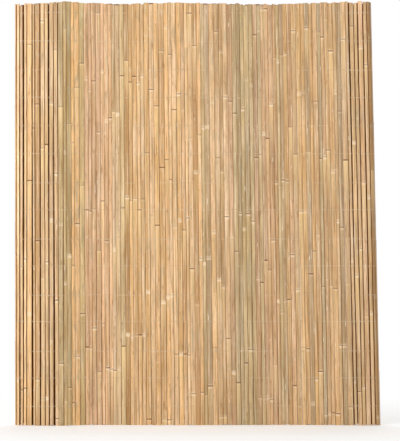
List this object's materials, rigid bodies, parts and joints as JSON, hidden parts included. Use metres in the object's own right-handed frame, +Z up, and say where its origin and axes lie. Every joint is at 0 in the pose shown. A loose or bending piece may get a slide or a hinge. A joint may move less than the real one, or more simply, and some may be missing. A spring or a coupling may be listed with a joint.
{
  "type": "rolled split bamboo fence",
  "caption": "Garden fence of split bamboo slats tied with rows of wire, rolled into one long flattened turn and standing on its end.",
  "frame": {"origin": "middle of the footprint, on the ground under the slats' feet", "axes": "+Z up along the slats, +X to the right across the flattened roll, front towards -Y"},
  "size_m": [1.0572, 0.076, 1.219],
  "materials": {
    "straw_bamboo": "dry split bamboo, pale straw skin with a faint sheen",
    "honey_bamboo": "dry split bamboo, honey brown skin with a faint sheen",
    "tan_bamboo": "dry split bamboo, pinkish tan skin with a faint sheen",
    "grey_green_bamboo": "dry split bamboo, skin still a little grey green",
    "galvanised_wire": "dull galvanised"
  },
  "bodies": {
    "root": {"culm_01_slats": "straw_bamboo", "culm_02_slats": "straw_bamboo", "culm_03_slats": "straw_bamboo", "culm_04_slats": "honey_bamboo", "culm_05_slats": "honey_bamboo", "culm_06_slats": "tan_bamboo", "culm_07_slats": "tan_bamboo", "culm_08_slats": "grey_green_bamboo", "culm_09_slats": "straw_bamboo", "culm_10_slats": "straw_bamboo", "culm_11_slats": "straw_bamboo", "culm_12_slats": "honey_bamboo", "culm_13_slats": "honey_bamboo", "culm_14_slats": "tan_bamboo", "culm_15_slats": "tan_bamboo", "culm_16_slats": "grey_green_bamboo", "culm_17_slats": "straw_bamboo", "culm_18_slats": "straw_bamboo", "culm_19_slats": "straw_bamboo", "culm_20_slats": "honey_bamboo", "culm_21_slats": "honey_bamboo", "culm_22_slats": "tan_bamboo", "culm_23_slats": "tan_bamboo", "culm_24_slats": "grey_green_bamboo", "culm_25_slats": "straw_bamboo", "culm_26_slats": "straw_bamboo", "culm_27_slats": "straw_bamboo", "culm_28_slats": "honey_bamboo", "culm_29_slats": "honey_bamboo", "culm_30_slats": "tan_bamboo", "culm_31_slats": "tan_bamboo", "culm_32_slats": "grey_green_bamboo", "culm_33_slats": "straw_bamboo", "culm_34_slats": "straw_bamboo", "culm_35_slats": "straw_bamboo", "culm_36_slats": "honey_bamboo", "culm_37_slats": "honey_bamboo", "culm_38_slats": "tan_bamboo", "culm_39_slats": "tan_bamboo", "culm_40_slats": "grey_green_bamboo", "tie_wire_01": "galvanised_wire", "tie_wire_02": "galvanised_wire", "tie_wire_03": "galvanised_wire", "tie_wire_04": "galvanised_wire", "tie_wire_05": "galvanised_wire", "tie_wire_06": "galvanised_wire", "tie_wire_07": "galvanised_wire", "tie_wire_08": "galvanised_wire", "tie_wire_09": "galvanised_wire", "tie_wire_10": "galvanised_wire", "tie_wire_11": "galvanised_wire", "tie_wire_12": "galvanised_wire", "tie_wire_13": "galvanised_wire", "tie_wire_14": "galvanised_wire", "tie_wire_15": "galvanised_wire"}
  },
  "joints": []
}
